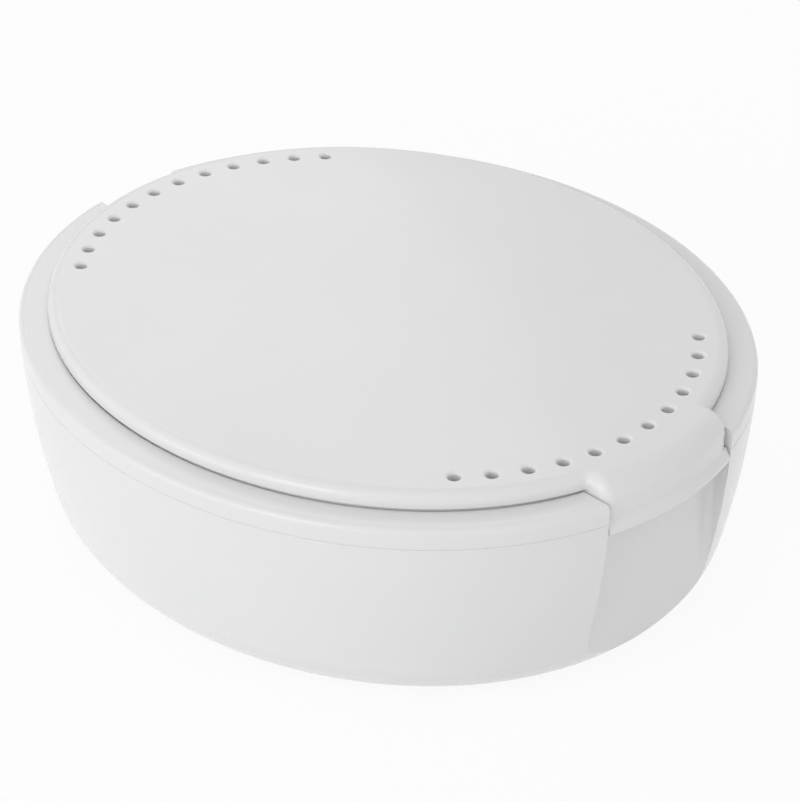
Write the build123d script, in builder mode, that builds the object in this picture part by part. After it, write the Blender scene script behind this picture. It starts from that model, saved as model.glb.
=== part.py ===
from build123d import *
import math
import os

# Oval denture case: a tub, a rim collar, a hinged lid, its pin and a strainer basket.
# Millimetres. +X points to the thumb tab, +Z up, and the origin is the middle of the base.
# Every outline is an ellipse, given as an outset from the collar's opening.

# Overall
case_height = 37.0              # base to the flat top of the lid
lid_half_length = 55.4          # the lid's own oval
lid_half_width = 48.4
lid_brim = 0.5                  # the lid's edge over its skirt
lid_gap = 0.25                  # between the lid's skirt and the collar's opening
rim_width = 4.8                 # collar ring, from its opening to the outside
open_angle = 110.0              # how far the lid swings back

# Heights, measured down from the top of the lid
rim_drop = 2.75                 # flat top of the collar ring
ledge_drop = 4.8                # step that the lid shuts on
seam_drop = 6.0                 # where the collar meets the tub
seat_drop = 6.2                 # step that the basket hangs on
pin_drop = 6.6
lip_drop = 8.0                  # lower edge of the thumb tab

# Tub
wall = 2.0
floor = 2.2
wall_draft = 0.032              # inward lean just under the seam, mm per mm
wall_bulge = 0.00405            # growth of the lean further down
wall_sections = 7
base_round = 9.6
foot_width = 4.0                # ring that the case stands on
foot_hollow = 0.6

# Bay at the front: a flat upright face in the tub, under the lid's tab
bay_depth = 5.1                 # from the collar's outside, at the tip of the oval
bay_half_width = 13.3
bay_wall = 1.8
bay_corner_round = 1.0          # inner corners of the bay, below the lip

# Collar
rim_round = 1.0                 # outer top edge of the ring
rim_inner_round = 0.25          # its edge beside the lid
seam_round = 0.15               # both sides of the seam
ledge_width = 0.9
seat_width = 2.0
seat_thickness = 1.4
spigot_wall = 1.6               # skirt that plugs into the tub
spigot_depth = 6.0
spigot_gap = 0.1

# Lid
lid_plate = 2.0
lid_skirt = 1.8
lid_rest_gap = 0.1              # over the collar's ledge when shut
lid_round = 1.7
brim_gap = 0.35                 # under the lid's edge, over the collar's ring
brim_round = 0.15
tab_gap = 0.25                  # each side of the tab, in the bay
tab_wall = 1.4
tab_front_round = 3.2
tab_inner_round = 1.4
tab_root_round = 0.6            # where the tab's sides meet the lid's edge
lip_proud = 0.8                 # lip along the tab's lower edge
lip_slope = 1.3
lip_height = 2.2
lip_round = 0.4
catch_half_width = 6.0
catch_thickness = 1.2
catch_length = 4.8
catch_gap = 0.3
catch_bead = 0.25

# Vent holes, one row round each end of the lid
vent_diameter = 1.75
vent_round = 0.45
vent_pitch = 5.26
vents_per_end = 12
vent_end_inset = 4.3            # row to the lid's edge, at the ends of the oval
vent_side_inset = 4.9           # and at its sides

# Hinge
hinge_half_width = 7.8          # notch in the back of the collar
knuckle_radius = 2.1
knuckle_side_gap = 0.3
knuckle_gap = 0.35
pin_diameter = 2.0
pin_chamfer = 0.2
pin_setback = 1.85              # behind the collar's opening
pin_running_gap = 0.05          # radial, in the lid's knuckle
pin_seat_gap = 0.01             # radial, in the collar's slots
pin_end_gap = 0.1
boss_width = 2.4                # slot for the pin, each side of the notch
boss_cheek = 0.6
apron_drop = 10.8               # lower edge of the collar's hinge apron
apron_wall = 1.5
apron_gap = 0.1
stop_gap = 0.12                 # left at the stop when the lid is fully open
saddle_gap = 0.02
saddle_depth = 7.5
arm_top_drop = 2.4
relief_drop = 2.9               # the lid's skirt ends here near the hinge, to swing clear
relief_reach = 20.0

# Strainer basket
basket_gap = 0.35               # flange to the collar
basket_flange = 1.1
basket_wall = 1.5
basket_floor = 1.4
basket_wall_gap = 0.5
basket_lean = 2.6               # the wall's lean from flange to floor
basket_lift = 3.0               # space under the basket for liquid
basket_round = 5.0
slot_pitch = 7.4
slots_per_end = 16
slot_width = 2.2
slot_length = 11.0
slot_sill = 5.5                 # from the basket's underside to the slots
window_half_width = 10.0        # finger windows in the two long sides
window_height = 8.0
window_head = 0.5
drain_diameter = 3.4
drain_pitch = 8.0
drain_margin = 3.0

# Worked out from the sizes above
skirt_half_length = lid_half_length - lid_brim
skirt_half_width = lid_half_width - lid_brim
open_a = skirt_half_length + lid_gap
open_b = skirt_half_width + lid_gap
rim_z = case_height - rim_drop
brim_z = rim_z + brim_gap
ledge_z = case_height - ledge_drop
lid_bottom_z = ledge_z + lid_rest_gap
plate_z = case_height - lid_plate
seam_z = case_height - seam_drop
seat_z = case_height - seat_drop
seat_bottom_z = seat_z - seat_thickness
lip_z = case_height - lip_drop
bay_round_z = lip_z - catch_gap
apron_z = case_height - apron_drop
pin_x = -open_a - pin_setback
pin_z = case_height - pin_drop
pin_radius = pin_diameter / 2
pocket_radius = knuckle_radius + knuckle_gap
boss_outer = hinge_half_width + boss_width
apron_half_width = boss_outer + boss_cheek
apron_side = apron_half_width + apron_gap
bay_edge = bay_half_width + bay_wall
tab_half_width = bay_half_width - tab_gap
seat_outset = -ledge_width - seat_width
spigot_outset = rim_width - wall - spigot_gap
tab_outset = rim_width - lip_proud
bay_plane = open_a + rim_width - bay_depth
far = 4 * open_a                # longer than anything on the case

# The arm's upper edge leaves the knuckle as a tangent and ends at the lid's edge. Swung
# open, it comes down on the sloped back of the hinge pocket.
arm_corner = (-lid_half_length - lid_gap, case_height - arm_top_drop)
arm_dx = arm_corner[0] - pin_x
arm_dz = arm_corner[1] - pin_z
arm_angle = math.atan2(arm_dz, arm_dx)
tangent_angle = arm_angle + math.acos(knuckle_radius / math.hypot(arm_dx, arm_dz))
tangent_point = (
    pin_x + knuckle_radius * math.cos(tangent_angle),
    pin_z + knuckle_radius * math.sin(tangent_angle),
)
swung = tangent_angle + math.radians(open_angle)
stop_radius = knuckle_radius + stop_gap
stop_start = (pin_x + stop_radius * math.cos(swung), pin_z + stop_radius * math.sin(swung))
stop_end = (-far, stop_start[1] + (far + stop_start[0]) / math.tan(swung))


def oval(outset):
    """Radii of the case's oval, drawn this far outside the collar's opening."""
    return open_a + outset, open_b + outset


def wall_outset(z):
    """Outset of the tub's outer face at a height."""
    depth = seam_z - z
    return rim_width - wall_draft * depth - wall_bulge * depth**2


def tub_sections(inset, bottom_z):
    """Ovals of the tub's outer face, moved inwards, from a height up to the seam."""
    sections = []
    for step in range(wall_sections):
        z = bottom_z + (seam_z - bottom_z) * step / (wall_sections - 1)
        with BuildSketch(Plane.XY.offset(z)) as section:
            Ellipse(*oval(wall_outset(z) - inset))
        sections.append(section.sketch)
    return sections


def block(low, high, mode=Mode.ADD):
    """Puts a box between two corners into the part being built."""
    size = [b - a for a, b in zip(low, high)]
    centre = [(a + b) / 2 for a, b in zip(low, high)]
    with Locations(tuple(centre)):
        Box(*size, mode=mode)


def oval_places(half_length, half_width, pitch, count):
    """Places evenly spaced along both ends of an ellipse: x, y and the outward direction."""
    steps = 200
    places = []
    for side in (-1, 1):
        t = 0.0
        for place in range(count // 2):
            run = pitch / 2 if place == 0 else pitch
            for _ in range(steps):
                t += side * run / steps / math.hypot(half_length * math.sin(t), half_width * math.cos(t))
            x = half_length * math.cos(t)
            y = half_width * math.sin(t)
            normal = math.degrees(math.atan2(half_length * math.sin(t), half_width * math.cos(t)))
            places.append((x, y, normal))
            places.append((-x, y, 180 - normal))
    return places


# Tub
base_lean = math.degrees(math.atan(wall_draft + 2 * wall_bulge * seam_z))
base_outset = wall_outset(0) - base_round * math.tan(math.radians((90 - base_lean) / 2))

with BuildPart() as shell:
    loft(tub_sections(0, 0))
    fillet(shell.faces().sort_by(Axis.Z)[0].edges(), radius=base_round)
    fillet(shell.faces().sort_by(Axis.Z)[-1].edges(), radius=seam_round)

with BuildPart() as cavity:
    loft(tub_sections(wall, floor))
    fillet(cavity.faces().sort_by(Axis.Z)[0].edges(), radius=base_round - wall)
    # a wall stays behind the bay, up to the collar's underside
    block((bay_plane - bay_wall, -bay_edge, 0), (far, bay_edge, seat_bottom_z), mode=Mode.SUBTRACT)

with BuildPart() as tub:
    add(shell.part)
    add(cavity.part, mode=Mode.SUBTRACT)
    # bay, with rounded inner corners as far up as the lid's lip
    block((bay_plane, -bay_half_width, bay_round_z), (far, bay_half_width, far), mode=Mode.SUBTRACT)
    with BuildSketch(Plane.XY) as bay_floor:
        with Locations((bay_plane, 0)):
            Rectangle(far, 2 * bay_half_width, align=(Align.MIN, Align.CENTER))
        fillet(bay_floor.vertices().group_by(Axis.X)[0], radius=bay_corner_round)
    extrude(amount=bay_round_z, mode=Mode.SUBTRACT)
    # gap in the wall for the collar's hinge apron
    block((-far, -apron_side, apron_z - apron_gap), (0, apron_side, far), mode=Mode.SUBTRACT)
    # saddles that hold the pin up in its slots
    for side in (-1, 1):
        saddle_y = side * (hinge_half_width + boss_width / 2)
        saddle_x = pin_radius - apron_gap / 2
        saddle_half = boss_width / 2 - knuckle_side_gap
        block(
            (pin_x - saddle_x, saddle_y - saddle_half, apron_z - saddle_depth),
            (pin_x + saddle_x, saddle_y + saddle_half, pin_z - pin_radius - saddle_gap),
        )
    # hollow inside the foot ring
    with BuildSketch(Plane.XY):
        Ellipse(*oval(base_outset - foot_width))
    extrude(amount=foot_hollow, mode=Mode.SUBTRACT)

# Collar
with BuildPart() as rim_ring:
    with BuildSketch(Plane.XY.offset(seam_z)):
        Ellipse(*oval(rim_width))
    extrude(amount=rim_z - seam_z)
    fillet(rim_ring.faces().sort_by(Axis.Z)[-1].edges(), radius=rim_round)
    fillet(rim_ring.faces().sort_by(Axis.Z)[0].edges(), radius=seam_round)
    with BuildSketch(Plane.XY):
        Ellipse(*oval(0))
    extrude(amount=far, mode=Mode.SUBTRACT)
    fillet(rim_ring.edges().group_by(Axis.Z)[-1].sort_by(SortBy.LENGTH)[0], radius=rim_inner_round)

with BuildPart() as spigot:
    loft(tub_sections(wall + spigot_gap, seam_z - spigot_depth))
    loft(tub_sections(wall + spigot_gap + spigot_wall, seam_z - spigot_depth), mode=Mode.SUBTRACT)
    block((0, -bay_edge - spigot_gap, 0), (far, bay_edge + spigot_gap, far), mode=Mode.SUBTRACT)

with BuildPart() as apron:
    add(shell.part)
    block(
        (-far, -apron_half_width, apron_z),
        (pin_x + pocket_radius + apron_wall, apron_half_width, seat_z),
        mode=Mode.INTERSECT,
    )

with BuildPart() as rim_collar:
    add(rim_ring.part)
    # steps inside the ring: what the lid shuts on, what the basket hangs on, and their base
    for outer, inner, top_z in (
        (seam_round, -ledge_width, ledge_z),
        (spigot_outset, -ledge_width, seam_z),
        (spigot_outset, seat_outset, seat_z),
    ):
        with BuildSketch(Plane.XY.offset(seat_bottom_z)):
            Ellipse(*oval(outer))
            Ellipse(*oval(inner), mode=Mode.SUBTRACT)
        extrude(amount=top_z - seat_bottom_z)
    add(spigot.part)
    add(apron.part)
    # front bay: cut away ahead of the tub's flat face, and lowered behind it
    block((bay_plane, -bay_half_width, 0), (far, bay_half_width, far), mode=Mode.SUBTRACT)
    block((0, -bay_half_width, ledge_z), (far, bay_half_width, far), mode=Mode.SUBTRACT)
    # back notch and the round pocket of the lid's knuckle
    with BuildSketch(Plane.XZ.offset(-hinge_half_width)):
        with Locations((pin_x, pin_z)):
            Circle(pocket_radius)
    extrude(amount=2 * hinge_half_width, mode=Mode.SUBTRACT)
    block(
        (-far, -hinge_half_width, pin_z),
        (pin_x + pocket_radius, hinge_half_width, far),
        mode=Mode.SUBTRACT,
    )
    block((-far, -hinge_half_width, ledge_z), (0, hinge_half_width, far), mode=Mode.SUBTRACT)
    # slots for the pin, open below so that it drops in before the collar goes on
    for side in (-1, 1):
        slot_y = side * (hinge_half_width + boss_width / 2)
        slot_half = pin_radius + pin_seat_gap
        with Locations(Location((pin_x, slot_y, pin_z), (90, 0, 0))):
            Cylinder(slot_half, boss_width, mode=Mode.SUBTRACT)
        block(
            (pin_x - slot_half, slot_y - boss_width / 2, 0),
            (pin_x + slot_half, slot_y + boss_width / 2, pin_z),
            mode=Mode.SUBTRACT,
        )
    # the back of the pocket slopes down to where the arm stops
    with BuildSketch(Plane.XZ.offset(-hinge_half_width)):
        with BuildLine():
            Polyline((pin_x, pin_z), stop_start, stop_end, (-far, far), (pin_x, far), close=True)
        make_face()
    extrude(amount=2 * hinge_half_width, mode=Mode.SUBTRACT)

# Hinge pin
with BuildPart() as hinge_pin:
    with BuildSketch(Plane.XZ):
        with Locations((pin_x, pin_z)):
            Circle(pin_radius)
    extrude(amount=boss_outer - pin_end_gap, both=True)
    chamfer(hinge_pin.edges().filter_by(GeomType.CIRCLE), length=pin_chamfer)

# Lid
with BuildSketch(Plane.XY) as tab_outline:
    Ellipse(*oval(tab_outset))
    Rectangle(far, 2 * tab_half_width, align=(Align.MIN, Align.CENTER), mode=Mode.INTERSECT)

with BuildPart() as lid_blank:
    with BuildSketch(Plane.XY.offset(lid_bottom_z)):
        Ellipse(lid_half_length, lid_half_width)
        add(tab_outline.sketch)
    extrude(amount=case_height - lid_bottom_z)
    # the tab's skirt hangs lower, ahead of the bay's flat face
    with BuildSketch(Plane.XY.offset(lip_z)):
        add(tab_outline.sketch)
    extrude(amount=plate_z - lip_z)
    block((-far, -far, 0), (bay_plane + catch_gap, far, lid_bottom_z), mode=Mode.SUBTRACT)
    fillet(lid_blank.edges().filter_by(Axis.Z).group_by(Axis.X)[0], radius=tab_root_round)
    top_edges = lid_blank.faces().sort_by(Axis.Z)[-1].edges()
    fillet(top_edges.sort_by(Axis.X)[-1], radius=tab_front_round)
    # one run of rounding: up one side of the tab, round the lid's edge and down the other side
    corners = [
        edge
        for edge in lid_blank.edges()
        if edge.center().X > bay_plane + catch_thickness
        and edge.center().Z > lip_z
        and all(abs(abs(end.Y) - tab_half_width) < tab_gap for end in (edge @ 0, edge @ 1))
        and (edge @ 0).Y * (edge @ 1).Y > 0
        and abs((edge @ 0).Z - (edge @ 1).Z) > seam_round / 2
    ]
    top_edges = lid_blank.faces().filter_by(Axis.Z).sort_by(Axis.Z)[-1].edges()
    outline = [
        edge
        for edge in top_edges
        if edge.center().X < bay_plane - lid_plate or abs(edge.center().Y) > tab_half_width - tab_gap
    ]
    fillet(corners + outline, radius=lid_round)

# lip: a short upright foot, then a slope back to the tab's face
with BuildPart() as tab_lip:
    sections = []
    for z, outset in (
        (lip_z, rim_width),
        (lip_z + lip_height - lip_slope, rim_width),
        (lip_z + lip_height, tab_outset),
    ):
        with BuildSketch(Plane.XY.offset(z)) as section:
            Ellipse(*oval(outset))
            Rectangle(far, 2 * tab_half_width, align=(Align.MIN, Align.CENTER), mode=Mode.INTERSECT)
            fillet(section.vertices().group_by(Axis.X)[-1], radius=lid_round)
        sections.append(section.sketch)
    loft(sections[:2])
    loft(sections[1:])
    fillet(tab_lip.faces().sort_by(Axis.Z)[0].edges().group_by(Axis.X)[-1], radius=lip_round)
    block((-far, -far, 0), (bay_plane + catch_gap, far, far), mode=Mode.SUBTRACT)

with BuildPart() as tab_hollow:
    with BuildSketch(Plane.XY.offset(lip_z)):
        Ellipse(*oval(tab_outset - tab_wall))
        Rectangle(far, 2 * (tab_half_width - tab_wall), align=(Align.MIN, Align.CENTER), mode=Mode.INTERSECT)
    extrude(amount=plate_z - lip_z)
    fillet(tab_hollow.faces().sort_by(Axis.Z)[-1].edges().sort_by(Axis.X)[-1], radius=tab_inner_round)
    with BuildSketch(Plane.XY.offset(lid_bottom_z)):
        Ellipse(lid_half_length, lid_half_width)
    extrude(amount=plate_z - lid_bottom_z, mode=Mode.SUBTRACT)

with BuildPart() as lid:
    add(lid_blank.part)
    add(tab_lip.part)
    add(tab_hollow.part, mode=Mode.SUBTRACT)
    with BuildSketch(Plane.XY.offset(lid_bottom_z)):
        Ellipse(skirt_half_length - lid_skirt, skirt_half_width - lid_skirt)
    extrude(amount=plate_z - lid_bottom_z, mode=Mode.SUBTRACT)
    # the skirt stands back under the brim, except behind the tab
    with BuildSketch(Plane.XY.offset(lid_bottom_z)):
        Rectangle(2 * far, 2 * far)
        Ellipse(skirt_half_length, skirt_half_width, mode=Mode.SUBTRACT)
        Rectangle(far, 2 * tab_half_width, align=(Align.MIN, Align.CENTER), mode=Mode.SUBTRACT)
    extrude(amount=brim_z - lid_bottom_z, mode=Mode.SUBTRACT)
    brim_edges = lid.edges().filter_by_position(Axis.Z, brim_z, brim_z)
    fillet(brim_edges.sort_by(SortBy.LENGTH)[-1], radius=brim_round)
    block(
        (-far, -far, 0),
        (relief_reach - lid_half_length, far, case_height - relief_drop),
        mode=Mode.SUBTRACT,
    )
    # arm and knuckle
    with BuildSketch(Plane.XZ):
        with BuildLine():
            Polyline(
                (lid_skirt - skirt_half_length, plate_z),
                (lid_skirt - skirt_half_length, lid_bottom_z),
                (pin_x, lid_bottom_z),
                (pin_x, pin_z),
                tangent_point,
                arm_corner,
                (arm_corner[0] + lid_gap, plate_z),
                close=True,
            )
        make_face()
        with Locations((pin_x, pin_z)):
            Circle(knuckle_radius)
    extrude(amount=hinge_half_width - knuckle_side_gap, both=True)
    with Locations(Location((pin_x, 0, pin_z), (90, 0, 0))):
        Cylinder(pin_radius + pin_running_gap, 2 * hinge_half_width, mode=Mode.SUBTRACT)
    # catch: a tongue behind the tab, with a bead at its foot
    catch_x = bay_plane + catch_gap
    catch_z = plate_z - catch_length
    block((catch_x, -catch_half_width, catch_z), (catch_x + catch_thickness, catch_half_width, plate_z))
    with Locations(Location((catch_x, 0, catch_z + catch_thickness / 2), (90, 0, 0))):
        Cylinder(catch_bead, 2 * catch_half_width)
    # vent holes
    row_length = lid_half_length - vent_end_inset
    row_width = lid_half_width - vent_side_inset
    vent_row = oval_places(row_length, row_width, vent_pitch, vents_per_end)
    with BuildSketch(Plane.XY.offset(plate_z)):
        with Locations(*[(x, y) for x, y, normal in vent_row]):
            Circle(vent_diameter / 2)
    extrude(amount=lid_plate, mode=Mode.SUBTRACT)
    circles = lid.edges().filter_by(GeomType.CIRCLE).filter_by(lambda edge: edge.radius < vent_diameter)
    fillet(circles.group_by(Axis.Z)[-1], radius=vent_round)

# Strainer basket
basket_z = floor + basket_lift
flange_z = seat_z + basket_flange
basket_outset = seat_outset - basket_wall_gap

with BuildPart() as basket_cup:
    with BuildSketch(Plane.XY.offset(basket_z)):
        Ellipse(*oval(basket_outset - basket_lean))
    with BuildSketch(Plane.XY.offset(flange_z)):
        Ellipse(*oval(basket_outset))
    loft()
    fillet(basket_cup.faces().sort_by(Axis.Z)[0].edges(), radius=basket_round)

with BuildPart() as basket_hollow:
    with BuildSketch(Plane.XY.offset(basket_z + basket_floor)):
        Ellipse(*oval(basket_outset - basket_lean - basket_wall))
    with BuildSketch(Plane.XY.offset(flange_z)):
        Ellipse(*oval(basket_outset - basket_wall))
    loft()
    fillet(basket_hollow.faces().sort_by(Axis.Z)[0].edges(), radius=basket_round - basket_wall)

with BuildPart() as strainer_basket:
    add(basket_cup.part)
    with BuildSketch(Plane.XY.offset(seat_z)):
        Ellipse(*oval(-ledge_width - basket_gap))
    extrude(amount=basket_flange)
    add(basket_hollow.part, mode=Mode.SUBTRACT)
    slot_row = oval_places(*oval(basket_outset), slot_pitch, slots_per_end)
    for x, y, normal in slot_row:
        with Locations(Location((x, y, basket_z + slot_sill + slot_length / 2), (0, 0, normal))):
            Box(2 * basket_round, slot_width, slot_length, mode=Mode.SUBTRACT)
    for side in (-1, 1):
        window_z = seat_z - window_head - window_height / 2
        with Locations((0, side * oval(basket_outset)[1], window_z)):
            Box(2 * window_half_width, 2 * basket_round, window_height, mode=Mode.SUBTRACT)
    # drain holes in the flat of the floor
    drain_a, drain_b = oval(basket_outset - basket_lean - basket_round - drain_margin)
    drain_rise = drain_pitch * math.sqrt(3) / 2
    drains = []
    for row in range(-int(drain_b / drain_rise), int(drain_b / drain_rise) + 1):
        for column in range(-int(drain_a / drain_pitch) - 1, int(drain_a / drain_pitch) + 1):
            x = (column + (row % 2) / 2) * drain_pitch
            y = row * drain_rise
            if (x / drain_a) ** 2 + (y / drain_b) ** 2 < 1:
                drains.append((x, y))
    with BuildSketch(Plane.XY.offset(basket_z)):
        with Locations(*drains):
            Circle(drain_diameter / 2)
    extrude(amount=basket_floor, mode=Mode.SUBTRACT)

os.makedirs("parts", exist_ok=True)

tub.part.label = "tub"
rim_collar.part.label = "rim_collar"
hinge_pin.part.label = "hinge_pin"
lid.part.label = "lid"
strainer_basket.part.label = "strainer_basket"

export_step(tub.part, "parts/tub.step")
export_step(rim_collar.part, "parts/rim_collar.step")
export_step(hinge_pin.part, "parts/hinge_pin.step")
export_step(lid.part, "parts/lid.step")
export_step(strainer_basket.part, "parts/strainer_basket.step")
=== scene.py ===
import math
import bmesh
import bpy
from mathutils import Matrix, Vector


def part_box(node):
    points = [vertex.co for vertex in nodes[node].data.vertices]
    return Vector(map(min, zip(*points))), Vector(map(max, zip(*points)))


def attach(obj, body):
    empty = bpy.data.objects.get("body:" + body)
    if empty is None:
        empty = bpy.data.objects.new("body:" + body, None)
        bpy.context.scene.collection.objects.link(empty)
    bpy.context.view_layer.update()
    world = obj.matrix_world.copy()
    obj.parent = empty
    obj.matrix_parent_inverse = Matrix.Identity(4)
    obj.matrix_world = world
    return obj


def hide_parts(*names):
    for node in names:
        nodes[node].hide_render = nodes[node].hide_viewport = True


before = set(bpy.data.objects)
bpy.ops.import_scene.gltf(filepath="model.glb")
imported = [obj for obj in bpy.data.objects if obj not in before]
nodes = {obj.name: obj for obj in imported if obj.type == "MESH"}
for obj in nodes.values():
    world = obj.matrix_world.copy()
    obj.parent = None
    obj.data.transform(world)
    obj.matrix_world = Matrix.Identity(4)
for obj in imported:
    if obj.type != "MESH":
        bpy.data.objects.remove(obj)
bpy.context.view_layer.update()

cameraSettings = {
    "azimuth": 45.055,        # degrees, from the -Y side round to +X
    "elevation": 32.981,
    "roll": 0.268,
    "distance": 0.39486,      # from the middle of the lid's top
    "right": 0.002622,        # sideways and upward offset of the view
    "up": -0.015386,
    "focal": 115.84,          # millimetres, on a sensor this high
    "sensor": 36,
    "clipStart": 0.01,
}


def buildCamera(settings):
    a = math.radians(settings["azimuth"])
    e = math.radians(settings["elevation"])
    roll = math.radians(settings["roll"])
    back = Vector((math.sin(a) * math.cos(e), -math.cos(a) * math.cos(e), math.sin(e)))
    right = Vector((math.cos(a), math.sin(a), 0))
    up = back.cross(right)
    target = Vector((0, 0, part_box("lid")[1].z))
    place = target + back * settings["distance"] + right * settings["right"] + up * settings["up"]
    rolledRight = right * math.cos(roll) + up * math.sin(roll)
    rolledUp = back.cross(rolledRight)
    data = bpy.data.cameras.new("studioCamera")
    data.sensor_fit = "VERTICAL"
    data.sensor_height = settings["sensor"]
    data.lens = settings["focal"]
    data.clip_start = settings["clipStart"]
    camera = bpy.data.objects.new("studioCamera", data)
    bpy.context.scene.collection.objects.link(camera)
    turn = Matrix((rolledRight, rolledUp, back)).transposed()
    camera.matrix_world = Matrix.Translation(place) @ turn.to_4x4()
    bpy.context.scene.camera = camera


skySettings = {
    "level": 0.71,                     # even light from all round
    "slope": 0.22,                     # how much brighter it is towards brightSide
    "brightSide": (0.43, -0.90, 0.07),
    "backdrop": 0.99,                  # white behind the object, and in its reflections
}


def backdropRays(tree):                # 1 where the camera or a clear reflection looks
    path = tree.nodes.new("ShaderNodeLightPath")
    seen = path.outputs["Is Camera Ray"]
    for ray in ("Is Glossy Ray", "Is Transmission Ray"):
        either = tree.nodes.new("ShaderNodeMath")
        either.operation = "MAXIMUM"
        tree.links.new(seen, either.inputs[0])
        tree.links.new(path.outputs[ray], either.inputs[1])
        seen = either.outputs[0]
    return seen


def buildSky(settings):
    world = bpy.data.worlds.new("studioWorld")
    bpy.context.scene.world = world
    world.use_nodes = True
    tree = world.node_tree
    tree.nodes.clear()
    out = tree.nodes.new("ShaderNodeOutputWorld")
    back = tree.nodes.new("ShaderNodeBackground")
    coords = tree.nodes.new("ShaderNodeTexCoord")
    facing = tree.nodes.new("ShaderNodeVectorMath")
    level = tree.nodes.new("ShaderNodeMapRange")
    pick = tree.nodes.new("ShaderNodeMix")
    facing.operation = "DOT_PRODUCT"
    facing.inputs[1].default_value = Vector(settings["brightSide"]).normalized()
    level.inputs["From Min"].default_value = -1
    level.inputs["To Min"].default_value = settings["level"] - settings["slope"]
    level.inputs["To Max"].default_value = settings["level"] + settings["slope"]
    pick.inputs["B"].default_value = settings["backdrop"]
    back.inputs["Color"].default_value = (1, 1, 1, 1)
    tree.links.new(coords.outputs["Generated"], facing.inputs[0])
    tree.links.new(facing.outputs["Value"], level.inputs["Value"])
    tree.links.new(backdropRays(tree), pick.inputs["Factor"])
    tree.links.new(level.outputs["Result"], pick.inputs["A"])
    tree.links.new(pick.outputs["Result"], back.inputs["Strength"])
    tree.links.new(back.outputs["Background"], out.inputs["Surface"])


lampSettings = {                       # place, disk size and power of each soft lamp
    "backLamp": ((-0.50, 0.30, 0.50), 0.45, 0.44),
    "frontLamp": ((0.10, -0.80, 0.40), 0.45, 1.06),
    "lowLamp": ((-0.30, -0.70, 0.15), 0.40, 0.52),
}
lampAim = (0, 0, 0.02)                 # the middle of the case


def buildLamp(name, place, size, power):
    data = bpy.data.lights.new(name, "AREA")
    data.shape = "DISK"
    data.size = size
    data.energy = power
    lamp = bpy.data.objects.new(name, data)
    bpy.context.scene.collection.objects.link(lamp)
    lamp.location = place
    lamp.rotation_euler = (Vector(lampAim) - Vector(place)).to_track_quat("-Z", "Y").to_euler()


floorSettings = {
    "halfSize": 3.0,
    "paper": 0.93,
    "glow": 0.9,               # share of plain white that the camera sees in the floor
}


def buildFloor(settings):
    r = settings["halfSize"]
    mesh = bpy.data.meshes.new("floor")
    mesh.from_pydata([(-r, -r, 0), (r, -r, 0), (r, r, 0), (-r, r, 0)], [], [(0, 1, 2, 3)])
    floor = bpy.data.objects.new("floor", mesh)
    bpy.context.scene.collection.objects.link(floor)
    material = bpy.data.materials.new("floorPaper")
    material.use_nodes = True
    tree = material.node_tree
    tree.nodes.clear()
    out = tree.nodes.new("ShaderNodeOutputMaterial")
    mix = tree.nodes.new("ShaderNodeMixShader")
    paper = tree.nodes.new("ShaderNodeBsdfDiffuse")
    glow = tree.nodes.new("ShaderNodeEmission")
    share = tree.nodes.new("ShaderNodeMath")
    share.operation = "MULTIPLY"
    share.inputs[1].default_value = settings["glow"]
    paper.inputs["Color"].default_value = (settings["paper"],) * 3 + (1,)
    glow.inputs["Color"].default_value = (1, 1, 1, 1)
    tree.links.new(backdropRays(tree), share.inputs[0])
    tree.links.new(share.outputs[0], mix.inputs[0])
    tree.links.new(paper.outputs[0], mix.inputs[1])
    tree.links.new(glow.outputs[0], mix.inputs[2])
    tree.links.new(mix.outputs[0], out.inputs["Surface"])
    mesh.materials.append(material)


shellFinish = {                               # scales are per metre, heights in metres
    "white": (0.80, 0.80, 0.80),
    "cooler": (0.775, 0.778, 0.78),           # where the melt flowed last
    "cloudScale": 28,
    "cloudDetail": 3,
    "roughness": (0.19, 0.27),
    "grainScale": 420,
    "grainDetail": 4,
    "grainContrast": 0.6,
    "waveScale": 55,                          # slow waves across the faces
    "waveDetail": 2,
    "waveHeight": 0.00012,
    "peelScale": 1500,                        # fine texture
    "peelDetail": 3,
    "peelHeight": 0.0000024,
    "noiseRange": (0.3, 0.7),                 # part of the noise that is used
    "subsurface": 0.12,
    "glowDepth": 0.0012,
    "glowTint": (1, 0.97, 0.94),
    "coat": 0.2,
    "coatRoughness": 0.08,
    "refraction": 1.49,
}

basketFinish = dict(
    shellFinish,
    white=(0.79, 0.795, 0.80),
    cooler=(0.765, 0.775, 0.78),
    roughness=(0.34, 0.44),                   # a satin moulding
    grainScale=900,
    peelScale=2600,
    peelHeight=0.0000060,
    coat=0.0,
)

pinFinish = {
    "bright": (0.66, 0.66, 0.67),
    "dull": (0.56, 0.56, 0.575),
    "roughness": (0.24, 0.42),
    "streakScale": 2600,                      # round the wire
    "streakLength": 0.02,                     # share of that scale along it
    "streakDetail": 4,
    "scratchHeight": 0.000004,
}


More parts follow.
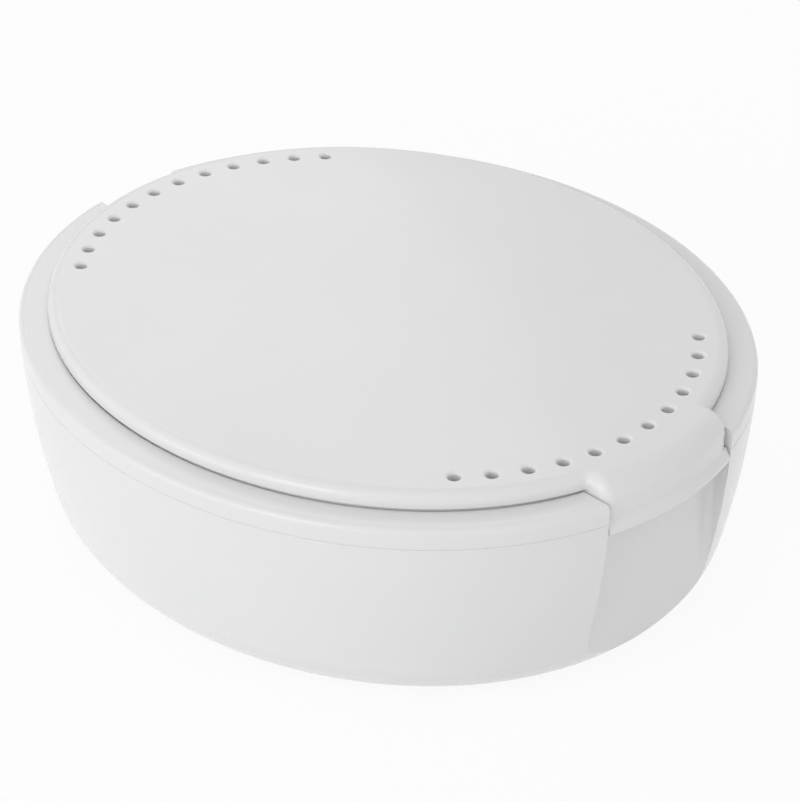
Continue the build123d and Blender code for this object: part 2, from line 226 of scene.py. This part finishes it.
def mouldedPlastic(name, finish):
    material = bpy.data.materials.new(name)
    material.use_nodes = True
    tree = material.node_tree
    shader = tree.nodes["Principled BSDF"]
    coords = tree.nodes.new("ShaderNodeTexCoord")

    def noise(layer, contrast=0.5):
        node = tree.nodes.new("ShaderNodeTexNoise")
        node.inputs["Scale"].default_value = finish[layer + "Scale"]
        node.inputs["Detail"].default_value = finish[layer + "Detail"]
        node.inputs["Roughness"].default_value = contrast
        tree.links.new(coords.outputs["Object"], node.inputs["Vector"])
        return node.outputs["Fac"]

    def spread(value, low, high):
        node = tree.nodes.new("ShaderNodeMapRange")
        node.inputs["From Min"].default_value, node.inputs["From Max"].default_value = finish["noiseRange"]
        node.inputs["To Min"].default_value = low
        node.inputs["To Max"].default_value = high
        tree.links.new(value, node.inputs["Value"])
        return node.outputs["Result"]

    def bump(layer):
        node = tree.nodes.new("ShaderNodeBump")
        node.inputs["Distance"].default_value = finish[layer + "Height"]
        node.inputs["Strength"].default_value = 1
        tree.links.new(noise(layer), node.inputs["Height"])
        return node

    cloud = tree.nodes.new("ShaderNodeMix")
    cloud.data_type = "RGBA"
    cloud.inputs["A"].default_value = (*finish["white"], 1)
    cloud.inputs["B"].default_value = (*finish["cooler"], 1)
    tree.links.new(spread(noise("cloud"), 0, 1), cloud.inputs["Factor"])
    tree.links.new(cloud.outputs["Result"], shader.inputs["Base Color"])
    grain = spread(noise("grain", finish["grainContrast"]), *finish["roughness"])
    tree.links.new(grain, shader.inputs["Roughness"])
    wave = bump("wave")
    peel = bump("peel")
    tree.links.new(wave.outputs["Normal"], peel.inputs["Normal"])
    tree.links.new(peel.outputs["Normal"], shader.inputs["Normal"])

    shader.inputs["Subsurface Weight"].default_value = finish["subsurface"]
    shader.inputs["Subsurface Scale"].default_value = finish["glowDepth"]
    shader.inputs["Subsurface Radius"].default_value = finish["glowTint"]
    shader.inputs["Coat Weight"].default_value = finish["coat"]
    shader.inputs["Coat Roughness"].default_value = finish["coatRoughness"]
    shader.inputs["IOR"].default_value = finish["refraction"]
    return material


def drawnSteel(name, finish):
    material = bpy.data.materials.new(name)
    material.use_nodes = True
    tree = material.node_tree
    shader = tree.nodes["Principled BSDF"]
    coords = tree.nodes.new("ShaderNodeTexCoord")
    along = tree.nodes.new("ShaderNodeMapping")
    streak = tree.nodes.new("ShaderNodeTexNoise")
    tone = tree.nodes.new("ShaderNodeMix")
    rough = tree.nodes.new("ShaderNodeMapRange")
    scratch = tree.nodes.new("ShaderNodeBump")
    along.inputs["Scale"].default_value = (1, finish["streakLength"], 1)
    streak.inputs["Scale"].default_value = finish["streakScale"]
    streak.inputs["Detail"].default_value = finish["streakDetail"]
    tone.data_type = "RGBA"
    tone.inputs["A"].default_value = (*finish["dull"], 1)
    tone.inputs["B"].default_value = (*finish["bright"], 1)
    rough.inputs["To Min"].default_value, rough.inputs["To Max"].default_value = finish["roughness"]
    scratch.inputs["Distance"].default_value = finish["scratchHeight"]
    tree.links.new(coords.outputs["Object"], along.inputs["Vector"])
    tree.links.new(along.outputs["Vector"], streak.inputs["Vector"])
    tree.links.new(streak.outputs["Fac"], tone.inputs["Factor"])
    tree.links.new(streak.outputs["Fac"], rough.inputs["Value"])
    tree.links.new(streak.outputs["Fac"], scratch.inputs["Height"])
    tree.links.new(tone.outputs["Result"], shader.inputs["Base Color"])
    tree.links.new(rough.outputs["Result"], shader.inputs["Roughness"])
    tree.links.new(scratch.outputs["Normal"], shader.inputs["Normal"])
    shader.inputs["Metallic"].default_value = 1
    return material


basketSettings = {                            # metres
    "flangeWidth": 0.00215,
    "flangeThickness": 0.0011,
    "wall": 0.0015,
    "floor": 0.0014,
    "lean": 0.0026,                           # of the wall, from the flange down
    "bottomRound": 0.0050,
    "edgeRound": 0.0003,
    "slotsPerEnd": 16,
    "slotPitch": 0.0074,
    "slotWidth": 0.0022,
    "slotLength": 0.0110,
    "slotSill": 0.0055,                       # from the underside to the slots
    "windowLength": 0.0200,
    "windowHeight": 0.0080,
    "windowHead": 0.0005,                     # left under the flange
    "cornerRound": 0.0006,
    "drainPitch": 0.0080,
    "drainDiameter": 0.0034,
    "drainMargin": 0.0030,
    "segments": 224,                          # round the oval
    "roundSteps": 8,                          # in the bottom's rounding
    "edgeSteps": 3,
    "cornerSteps": 5,
    "drainSides": 28,
    "rowSteps": 512,                          # in the oval that carries the slots
    "mergeDistance": 0.000001,
    "sharpAngle": 0.6,                        # radians
}


def arcPoints(centre, radius, start, end, steps):
    angles = [math.radians(start + (end - start) * i / steps) for i in range(steps + 1)]
    return [(centre[0] + radius * math.cos(a), centre[1] + radius * math.sin(a)) for a in angles]


def basketProfile(settings, bottom, top):     # half section: distance outside the flange's edge, height
    wall, lean, fine = settings["wall"], settings["lean"], settings["edgeRound"]
    foot, cup = settings["bottomRound"], -settings["flangeWidth"]
    steps, edgeSteps = settings["roundSteps"], settings["edgeSteps"]
    seat = top - settings["flangeThickness"]
    inner = bottom + settings["floor"]
    innerFoot = foot - wall
    outline = [(cup - lean - foot - wall, bottom)]
    outline += arcPoints((cup - lean - foot, bottom + foot), foot, -90, 0, steps)
    outline += [(cup, seat - fine)]
    outline += arcPoints((-fine, seat + fine), fine, -90, 0, edgeSteps)
    outline += arcPoints((-fine, top - fine), fine, 0, 90, edgeSteps)
    outline += arcPoints((cup - wall + fine, top - fine), fine, 90, 180, edgeSteps)
    outline += arcPoints((cup - lean - wall - innerFoot, inner + innerFoot), innerFoot, 0, -90, steps)
    outline += [(cup - lean - foot - wall, inner)]
    return outline


def ovalShell(name, profile, halfLength, halfWidth, segments):
    build = bmesh.new()
    rings = []
    turns = [2 * math.pi * i / segments for i in range(segments)]
    for outset, z in profile:
        a, b = halfLength + outset, halfWidth + outset
        rings.append([build.verts.new((a * math.cos(t), b * math.sin(t), z)) for t in turns])
    for lower, upper in zip(rings, rings[1:]):
        for i in range(segments):
            j = (i + 1) % segments
            build.faces.new((lower[i], lower[j], upper[j], upper[i]))
    build.faces.new(reversed(rings[0]))
    build.faces.new(rings[-1])
    bmesh.ops.recalc_face_normals(build, faces=build.faces)
    mesh = bpy.data.meshes.new(name)
    build.to_mesh(mesh)
    build.free()
    piece = bpy.data.objects.new(name, mesh)
    bpy.context.scene.collection.objects.link(piece)
    return piece


class Tree:                                   # short ways to add nodes to a node group
    def __init__(self, name, inputs):
        self.group = bpy.data.node_groups.new(name, "GeometryNodeTree")
        face = self.group.interface
        face.new_socket("Geometry", in_out="INPUT", socket_type="NodeSocketGeometry")
        face.new_socket("Geometry", in_out="OUTPUT", socket_type="NodeSocketGeometry")
        for label, kind in inputs.items():
            face.new_socket(label, in_out="INPUT", socket_type="NodeSocket" + kind)
        self.start = self.group.nodes.new("NodeGroupInput")
        self.end = self.group.nodes.new("NodeGroupOutput")

    def set(self, socket, value):
        if isinstance(value, bpy.types.NodeSocket):
            self.group.links.new(value, socket)
        else:
            socket.default_value = value

    def node(self, kind, inputs=None, **options):
        node = self.group.nodes.new(kind)
        for key, value in options.items():
            setattr(node, key, value)
        for key, value in (inputs or {}).items():
            self.set(node.inputs[key], value)
        return node

    def maths(self, operation, a, b=0.0):
        return self.node("ShaderNodeMath", {0: a, 1: b}, operation=operation).outputs[0]

    def vector(self, x=0.0, y=0.0, z=0.0):
        return self.node("ShaderNodeCombineXYZ", {0: x, 1: y, 2: z}).outputs[0]

    def join(self, *parts):
        node = self.group.nodes.new("GeometryNodeJoinGeometry")
        for part in parts:
            self.group.links.new(part, node.inputs[0])
        return node.outputs[0]

    def place(self, points, shape, rotation=(0, 0, 0)):
        inputs = {"Points": points, "Instance": shape, "Rotation": rotation}
        return self.node("GeometryNodeInstanceOnPoints", inputs).outputs[0]


basketInputs = {
    "Slots per end": "Int",
    "Slot pitch": "Float",
    "Slot width": "Float",
    "Slot length": "Float",
    "Slot height": "Float",
    "Window length": "Float",
    "Window size": "Float",
    "Window height": "Float",
    "Corner round": "Float",
    "Corner steps": "Int",
    "Row length": "Float",
    "Row width": "Float",
    "Row steps": "Int",
    "Drain pitch": "Float",
    "Drain diameter": "Float",
    "Drain length": "Float",
    "Drain width": "Float",
    "Drain height": "Float",
    "Drain sides": "Int",
    "Cut depth": "Float",
    "Merge distance": "Float",
    "Sharp angle": "Float",
    "Finish": "Material",
}


def slabCutter(tree, given, width, height):   # round-cornered block, its depth along X
    depth = given["Cut depth"]
    outline = tree.node("GeometryNodeCurvePrimitiveQuadrilateral", {"Width": width, "Height": height})
    rounding = {"Curve": outline.outputs[0], "Count": given["Corner steps"]}
    rounding.update({"Radius": given["Corner round"], "Limit Radius": True})
    rounded = tree.node("GeometryNodeFilletCurve", rounding, mode="POLY")
    filled = tree.node("GeometryNodeFillCurve", {"Curve": rounded.outputs[0]}, mode="NGONS")
    thick = {"Mesh": filled.outputs[0], "Offset Scale": depth, "Individual": False}
    raised = tree.node("GeometryNodeExtrudeMesh", thick)
    under = tree.node("GeometryNodeFlipFaces", {"Mesh": filled.outputs[0]})
    both = tree.join(raised.outputs[0], under.outputs[0])
    merging = {"Geometry": both, "Distance": given["Merge distance"]}
    closed = tree.node("GeometryNodeMergeByDistance", merging)
    centred = tree.vector(tree.maths("MULTIPLY", depth, -0.5))
    turn = {"Geometry": closed.outputs[0], "Rotation": (math.pi / 2, 0, math.pi / 2)}
    return tree.node("GeometryNodeTransform", {**turn, "Translation": centred}).outputs[0]


def slotCutters(tree, given):                 # evenly spaced round both ends of the oval
    circle = tree.node("GeometryNodeCurvePrimitiveCircle", {"Resolution": given["Row steps"], "Radius": 1.0})
    scale = tree.vector(given["Row length"], given["Row width"], 1.0)
    oval = tree.node("GeometryNodeTransform", {"Geometry": circle.outputs[0], "Scale": scale})
    total = tree.node("GeometryNodeCurveLength", {"Curve": oval.outputs[0]}).outputs[0]
    index = tree.node("GeometryNodeInputIndex").outputs[0]
    end = tree.maths("FLOOR", tree.maths("DIVIDE", index, given["Slots per end"]))
    step = tree.maths("FLOORED_MODULO", index, given["Slots per end"])
    middle = tree.maths("MULTIPLY", tree.maths("SUBTRACT", given["Slots per end"], 1.0), 0.5)
    along = tree.maths("MULTIPLY", tree.maths("SUBTRACT", step, middle), given["Slot pitch"])
    start = tree.maths("MULTIPLY", total, tree.maths("MULTIPLY", end, 0.5))
    length = tree.maths("FLOORED_MODULO", tree.maths("ADD", along, start), total)
    sample = tree.node("GeometryNodeSampleCurve", mode="LENGTH", use_all_curves=True)
    tree.set(sample.inputs["Curves"], oval.outputs[0])
    tree.set(sample.inputs["Length"], length)
    place = tree.node("ShaderNodeVectorMath", {0: sample.outputs["Position"]}, operation="ADD")
    tree.set(place.inputs[1], tree.vector(z=given["Slot height"]))
    count = tree.maths("MULTIPLY", given["Slots per end"], 2.0)
    points = tree.node("GeometryNodePoints", {"Count": count, "Position": place.outputs[0]})
    turn = tree.node("FunctionNodeAlignRotationToVector", axis="Y", pivot_axis="Z")
    tree.set(turn.inputs["Vector"], sample.outputs["Tangent"])
    slab = slabCutter(tree, given, given["Slot width"], given["Slot length"])
    return tree.place(points.outputs[0], slab, turn.outputs[0])


def windowCutters(tree, given):               # one in the middle of each long side
    index = tree.node("GeometryNodeInputIndex").outputs[0]
    side = tree.maths("SUBTRACT", tree.maths("MULTIPLY", index, 2.0), 1.0)
    place = tree.vector(0.0, tree.maths("MULTIPLY", side, given["Row width"]), given["Window height"])
    points = tree.node("GeometryNodePoints", {"Count": 2, "Position": place})
    slab = slabCutter(tree, given, given["Window length"], given["Window size"])
    return tree.place(points.outputs[0], slab, (0, 0, math.pi / 2))


def drainCutters(tree, given):                # staggered rows over the flat of the floor
    rise = tree.maths("MULTIPLY", given["Drain pitch"], math.sqrt(3) / 2)
    half = tree.maths("ADD", tree.maths("CEIL", tree.maths("DIVIDE", given["Drain length"], rise)), 1.0)
    side = tree.maths("ADD", tree.maths("MULTIPLY", half, 2.0), 1.0)
    index = tree.node("GeometryNodeInputIndex").outputs[0]
    row = tree.maths("SUBTRACT", tree.maths("FLOOR", tree.maths("DIVIDE", index, side)), half)
    column = tree.maths("SUBTRACT", tree.maths("FLOORED_MODULO", index, side), half)
    shift = tree.maths("MULTIPLY", tree.maths("FLOORED_MODULO", row, 2.0), 0.5)
    x = tree.maths("MULTIPLY", tree.maths("ADD", column, shift), given["Drain pitch"])
    y = tree.maths("MULTIPLY", row, rise)
    place = tree.vector(x, y, given["Drain height"])
    count = tree.maths("MULTIPLY", side, side)
    points = tree.node("GeometryNodePoints", {"Count": count, "Position": place})
    across = tree.maths("POWER", tree.maths("DIVIDE", x, given["Drain length"]), 2.0)
    along = tree.maths("POWER", tree.maths("DIVIDE", y, given["Drain width"]), 2.0)
    reach = tree.maths("ADD", across, along)
    outside = tree.node("FunctionNodeCompare", {0: reach, 1: 1.0}, operation="GREATER_EQUAL")
    choice = {"Geometry": points.outputs[0], "Selection": outside.outputs[0]}
    kept = tree.node("GeometryNodeDeleteGeometry", choice)
    radius = tree.maths("MULTIPLY", given["Drain diameter"], 0.5)
    sizes = {"Vertices": given["Drain sides"], "Radius": radius, "Depth": given["Cut depth"]}
    drill = tree.node("GeometryNodeMeshCylinder", sizes)
    return tree.place(kept.outputs[0], drill.outputs[0])


def basketTree():
    tree = Tree("basketOpenings", basketInputs)
    given = tree.start.outputs
    cutters = tree.join(slotCutters(tree, given), windowCutters(tree, given), drainCutters(tree, given))
    solid = tree.node("GeometryNodeRealizeInstances", {"Geometry": cutters})
    cut = tree.node("GeometryNodeMeshBoolean", operation="DIFFERENCE", solver="EXACT")
    tree.set(cut.inputs["Mesh 1"], given["Geometry"])
    tree.set(cut.inputs["Mesh 2"], solid.outputs[0])
    smooth = tree.node("GeometryNodeSetShadeSmooth", {"Geometry": cut.outputs[0], "Shade Smooth": True})
    angle = tree.node("GeometryNodeInputMeshEdgeAngle").outputs["Unsigned Angle"]
    sharp = tree.node("FunctionNodeCompare", {0: angle, 1: given["Sharp angle"]}, operation="GREATER_THAN")
    edges = {"Geometry": smooth.outputs[0], "Selection": sharp.outputs[0], "Shade Smooth": False}
    creased = tree.node("GeometryNodeSetShadeSmooth", edges, domain="EDGE")
    real = tree.node("GeometryNodeRealizeInstances", {"Geometry": creased.outputs[0]})
    finish = tree.node("GeometryNodeSetMaterial", {"Geometry": real.outputs[0], "Material": given["Finish"]})
    tree.set(tree.end.inputs[0], finish.outputs[0])
    return tree.group


def applyTree(piece, group, values):          # runs the tree once and keeps its result as a plain mesh
    modifier = piece.modifiers.new(group.name, "NODES")
    modifier.node_group = group
    for socket in group.interface.items_tree:
        if socket.in_out == "INPUT" and socket.name in values:
            modifier[socket.identifier] = values[socket.name]
    evaluated = piece.evaluated_get(bpy.context.evaluated_depsgraph_get())
    mesh = bpy.data.meshes.new_from_object(evaluated)
    piece.modifiers.remove(modifier)
    piece.data = mesh
    mesh.name = piece.name


def buildBasket(settings, finish):
    low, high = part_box("strainer_basket")
    cupLength = high.x - settings["flangeWidth"]
    cupWidth = high.y - settings["flangeWidth"]
    profile = basketProfile(settings, low.z, high.z)
    piece = ovalShell("strainerBasket", profile, high.x, high.y, settings["segments"])
    piece.data.materials.append(finish)
    seat = high.z - settings["flangeThickness"]
    edge = settings["lean"] + settings["bottomRound"] + settings["drainMargin"]
    values = {
        "Slots per end": settings["slotsPerEnd"],
        "Slot pitch": settings["slotPitch"],
        "Slot width": settings["slotWidth"],
        "Slot length": settings["slotLength"],
        "Slot height": low.z + settings["slotSill"] + settings["slotLength"] / 2,
        "Window length": settings["windowLength"],
        "Window size": settings["windowHeight"],
        "Window height": seat - settings["windowHead"] - settings["windowHeight"] / 2,
        "Corner round": settings["cornerRound"],
        "Corner steps": settings["cornerSteps"],
        "Row length": cupLength,
        "Row width": cupWidth,
        "Row steps": settings["rowSteps"],
        "Drain pitch": settings["drainPitch"],
        "Drain diameter": settings["drainDiameter"],
        "Drain length": cupLength - edge,
        "Drain width": cupWidth - edge,
        "Drain height": low.z + settings["floor"] / 2,
        "Drain sides": settings["drainSides"],
        "Cut depth": 2 * settings["bottomRound"],
        "Merge distance": settings["mergeDistance"],
        "Sharp angle": settings["sharpAngle"],
        "Finish": finish,
    }
    applyTree(piece, basketTree(), values)
    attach(piece, "case")
    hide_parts("strainer_basket")


print("scene: studio")
buildCamera(cameraSettings)
buildSky(skySettings)
for name, (place, size, power) in lampSettings.items():
    buildLamp(name, place, size, power)
buildFloor(floorSettings)

print("scene: finishes")
shellPlastic = mouldedPlastic("shellPlastic", shellFinish)
basketPlastic = mouldedPlastic("basketPlastic", basketFinish)
pinSteel = drawnSteel("pinSteel", pinFinish)
finishes = {"tub": shellPlastic, "rim_collar": shellPlastic, "lid": shellPlastic, "hinge_pin": pinSteel}
for name, finish in finishes.items():
    nodes[name].data.materials.clear()
    nodes[name].data.materials.append(finish)

print("scene: strainer basket")
buildBasket(basketSettings, basketPlastic)

scene = bpy.context.scene
scene.view_settings.view_transform = "Standard"
